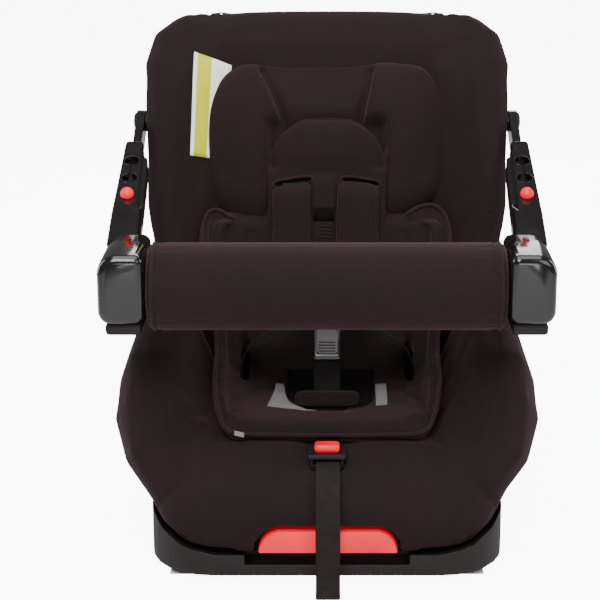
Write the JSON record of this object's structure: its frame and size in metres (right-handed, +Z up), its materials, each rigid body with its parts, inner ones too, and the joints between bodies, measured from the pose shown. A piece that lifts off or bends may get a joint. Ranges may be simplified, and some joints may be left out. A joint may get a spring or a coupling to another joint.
{
  "type": "convertible car seat",
  "caption": "Child car seat with padded cover, infant insert, swing-up guard bar on arms, harness, and a shell that reclines on a base.",
  "frame": {"origin": "the bottom face of the middle foot pad, on the floor plane; x is centred", "axes": "+Z up, the seat faces -Y, +X to the viewer's right when facing the seat"},
  "size_m": [0.479, 0.5202, 0.5458],
  "materials": {
    "fabric": "dark brown-black knitted cover",
    "insert_fabric": "dark soft padded fabric",
    "webbing": "dark grey woven webbing",
    "shell_plastic": "dark grey fine-grained plastic",
    "gloss_plastic": "black, polished",
    "red_plastic": "red, satin",
    "steel": "bare steel",
    "rubber": "black, matt"
  },
  "bodies": {
    "base": {"base_shell": "shell_plastic", "foot_pad_centre": "rubber", "recline_rail_left": "steel", "recline_rail_right": "steel", "recline_rack": "steel", "foot_pad_front_left": "rubber", "foot_pad_front_right": "rubber", "foot_pad_rear_left": "rubber", "foot_pad_rear_right": "rubber"},
    "seat": {"adjuster_housing": "shell_plastic", "adjuster_strap": "webbing", "arch_pad": "insert_fabric", "backrest_cover": "fabric", "buckle_housing": "shell_plastic", "buckle_tongue_left": "steel", "buckle_tongue_right": "steel", "crotch_anchor": "steel", "crotch_pad": "insert_fabric", "crotch_strap": "webbing", "guide_rod_front": "steel", "guide_rod_rear": "steel", "harness_strap_left": "webbing", "harness_strap_right": "webbing", "harness_yoke": "steel", "head_pillow": "insert_fabric", "hip_anchor_left": "steel", "hip_anchor_right": "steel", "infant_insert": "insert_fabric", "pivot_bolt_left": "steel", "pivot_bolt_right": "steel", "pivot_cap_left": "gloss_plastic", "pivot_cap_right": "gloss_plastic", "seat_cover": "fabric", "seat_shell": "shell_plastic", "shoulder_pad_left": "insert_fabric", "shoulder_pad_right": "insert_fabric"},
    "bar_arms": {"arm_link_left": "gloss_plastic", "arm_link_right": "gloss_plastic"},
    "guard_bar": {"arm_sleeve_left": "gloss_plastic", "arm_sleeve_right": "gloss_plastic", "end_cap_left": "gloss_plastic", "end_cap_right": "gloss_plastic", "end_cap_base_left": "shell_plastic", "end_cap_base_right": "shell_plastic", "bar_tube": "steel", "bar_pad": "fabric"},
    "recline_lever_body": {"recline_lever": "red_plastic", "latch_bar": "steel"},
    "buckle_button_body": {"buckle_button": "shell_plastic"},
    "adjuster_button_body": {"adjuster_button": "red_plastic"},
    "arm_button_left_body": {"arm_button_left": "red_plastic"},
    "arm_button_right_body": {"arm_button_right": "red_plastic"}
  },
  "joints": [
    {"name": "recline", "type": "hinge", "parent": "base", "child": "seat", "pos_m": [0, -0.1, 0.5], "axis": [-1, 0, 0], "range_deg": [0, 12]},
    {"name": "recline_lever_pull", "type": "slide", "parent": "seat", "child": "recline_lever_body", "axis": [0, -1, 0], "range_m": [0, 0.01], "stiffness_N_per_m": 400},
    {"name": "bar_swing", "type": "hinge", "parent": "seat", "child": "bar_arms", "pos_m": [0, 0.13, 0.43], "axis": [-1, 0, 0], "range_deg": [0, 95]},
    {"name": "bar_depth", "type": "slide", "parent": "bar_arms", "child": "guard_bar", "axis": [0, -0.8917, -0.4527], "range_m": [0, 0.062]},
    {"name": "arm_button_left_press", "type": "slide", "parent": "bar_arms", "child": "arm_button_left_body", "axis": [0, 0.4527, -0.8917], "range_m": [0, 0.003], "stiffness_N_per_m": 600},
    {"name": "arm_button_right_press", "type": "slide", "parent": "bar_arms", "child": "arm_button_right_body", "axis": [0, 0.4527, -0.8917], "range_m": [0, 0.003], "stiffness_N_per_m": 600},
    {"name": "buckle_button_press", "type": "slide", "parent": "seat", "child": "buckle_button_body", "axis": [0, 0.9798, -0.2], "range_m": [0, 0.003], "stiffness_N_per_m": 600},
    {"name": "adjuster_button_press", "type": "slide", "parent": "seat", "child": "adjuster_button_body", "axis": [0, 0, -1], "range_m": [0, 0.003], "stiffness_N_per_m": 600}
  ]
}
